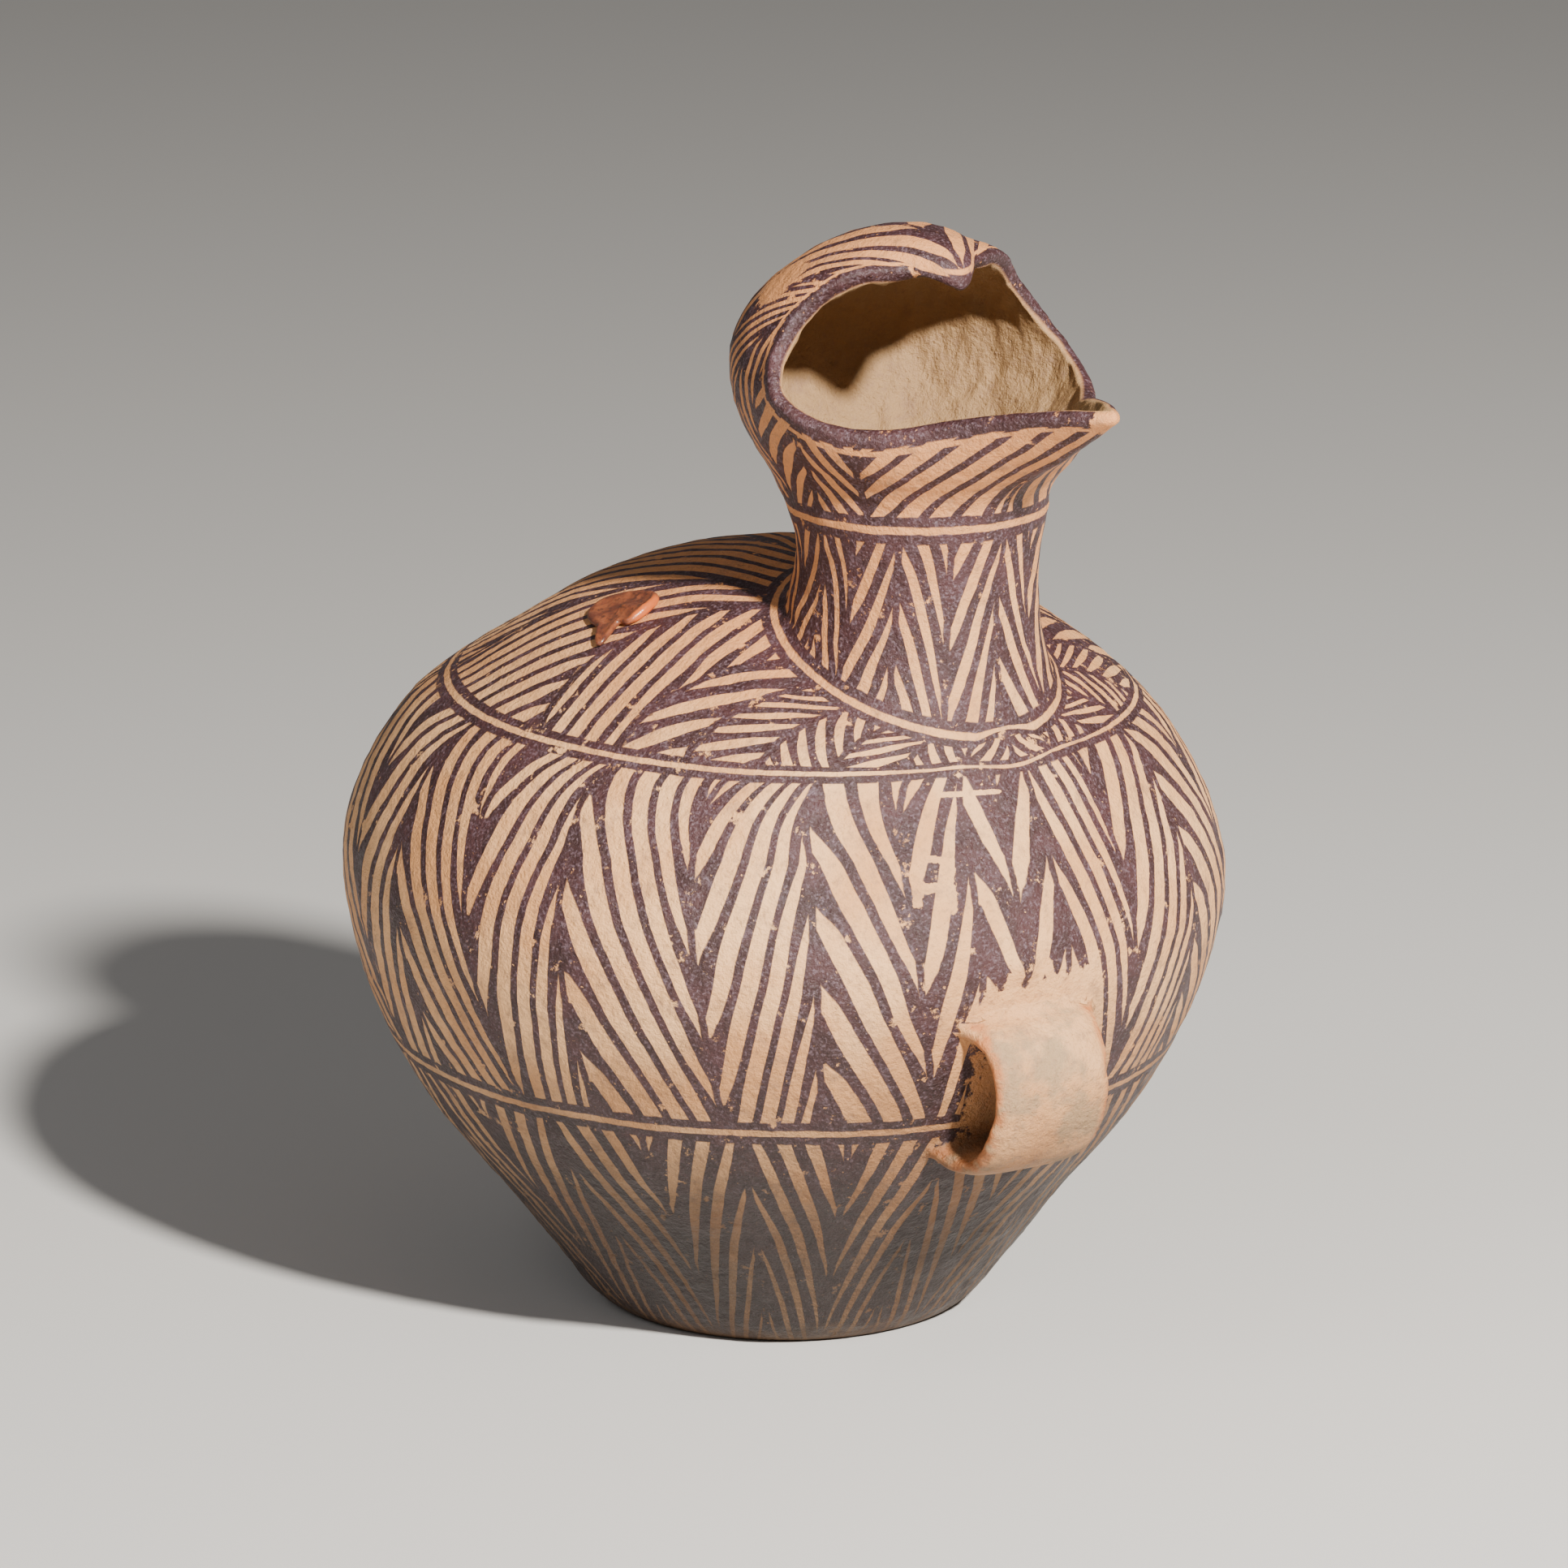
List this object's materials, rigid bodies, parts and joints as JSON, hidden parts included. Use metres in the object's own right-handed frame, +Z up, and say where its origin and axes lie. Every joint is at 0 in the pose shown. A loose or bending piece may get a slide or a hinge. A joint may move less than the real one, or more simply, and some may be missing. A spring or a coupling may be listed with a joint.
{
  "type": "bird-shaped pottery jar",
  "caption": "Hollow hand-built pottery jar in the shape of a bird, with a hooded head, pinched beak and a strap handle.",
  "frame": {"origin": "centre of the flat underside that the jar stands on", "axes": "+Z up; the beak and the handle point along -Y; +X is the bird's left"},
  "size_m": [0.2322, 0.2504, 0.2959],
  "materials": {
    "painted_clay": "burnished buff clay with purple-brown paint",
    "sealing_wax": "aged orange-brown wax"
  },
  "bodies": {
    "root": {"bird_jar": "painted_clay", "wax_seal": "sealing_wax"}
  },
  "joints": []
}
